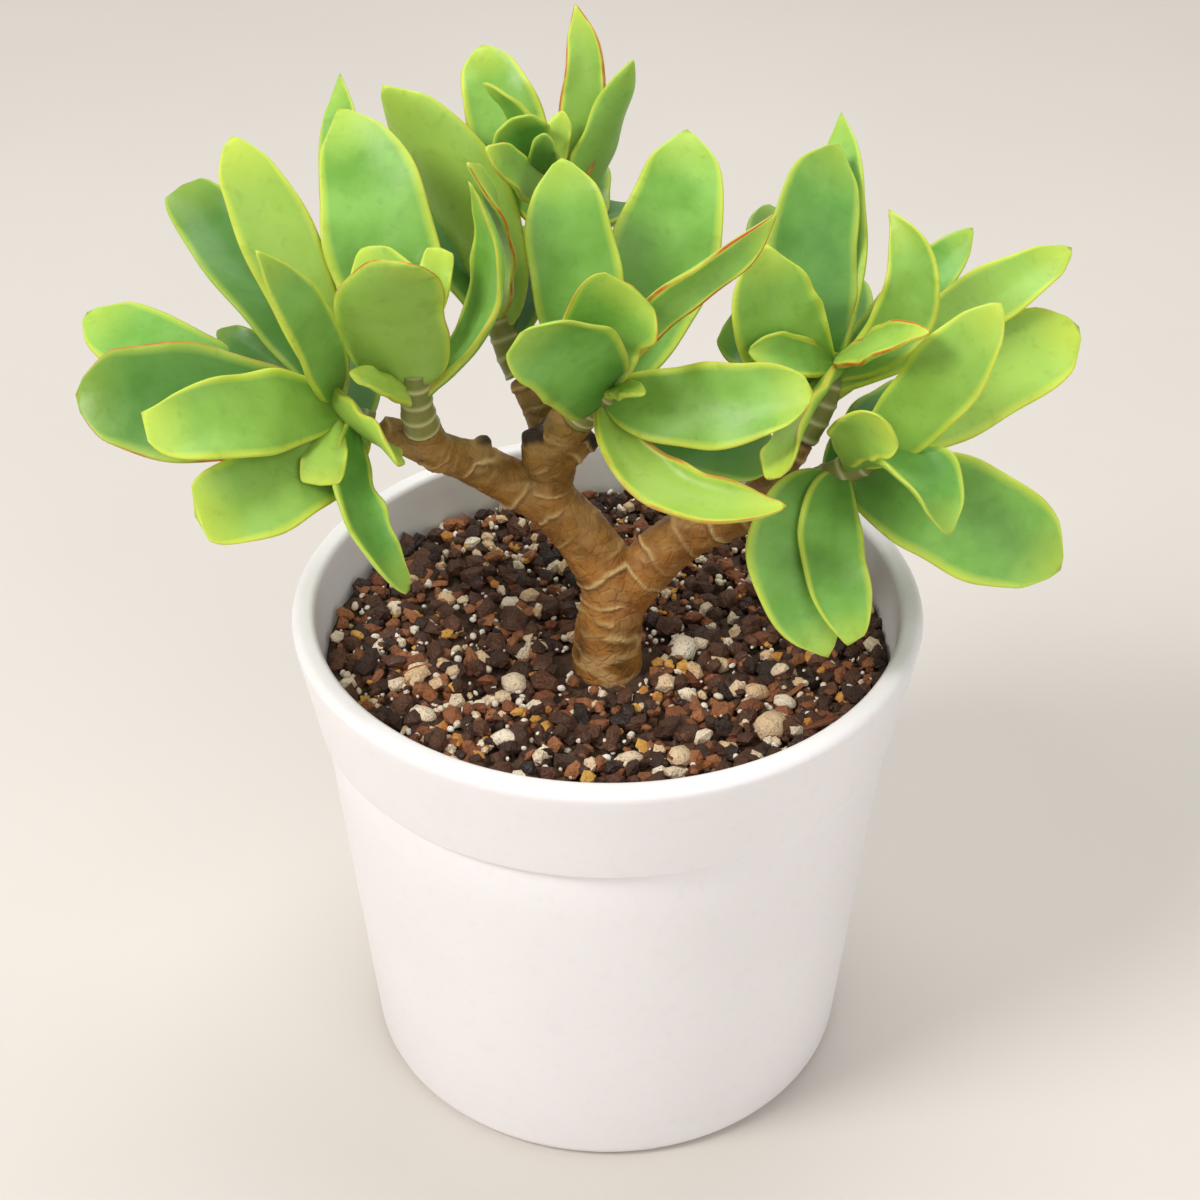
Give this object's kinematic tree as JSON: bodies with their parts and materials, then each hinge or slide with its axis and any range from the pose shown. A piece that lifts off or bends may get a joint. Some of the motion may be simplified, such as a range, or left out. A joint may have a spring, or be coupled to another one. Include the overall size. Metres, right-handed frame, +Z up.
{
  "type": "potted ruffles jade",
  "caption": "Jade plant with waved fleshy leaves on a forked woody stem, standing in gritty soil in a round white pot with a deep collar.",
  "frame": {"origin": "centre of the pot's flat underside, on the surface that it stands on", "axes": "+Z up, -Y towards the front of the plant as pictured, +X to the right seen from the front"},
  "size_m": [0.181, 0.1196, 0.206],
  "materials": {
    "pot_plastic": "white, satin, very fine grain",
    "gritty_soil": "loose dark bark grit with pale pumice and perlite",
    "bark": "dry tan bark with pale ring scars",
    "leaf": "fleshy satin green with lime margins and a thin red line"
  },
  "bodies": {
    "root": {"pot": "pot_plastic", "soil": "gritty_soil", "trunk": "bark", "shoot_left_front": "leaf", "shoot_left_small": "leaf", "shoot_left_back": "leaf", "shoot_top": "leaf", "shoot_centre": "leaf", "shoot_right_low": "leaf", "shoot_right_high": "leaf"}
  },
  "joints": []
}
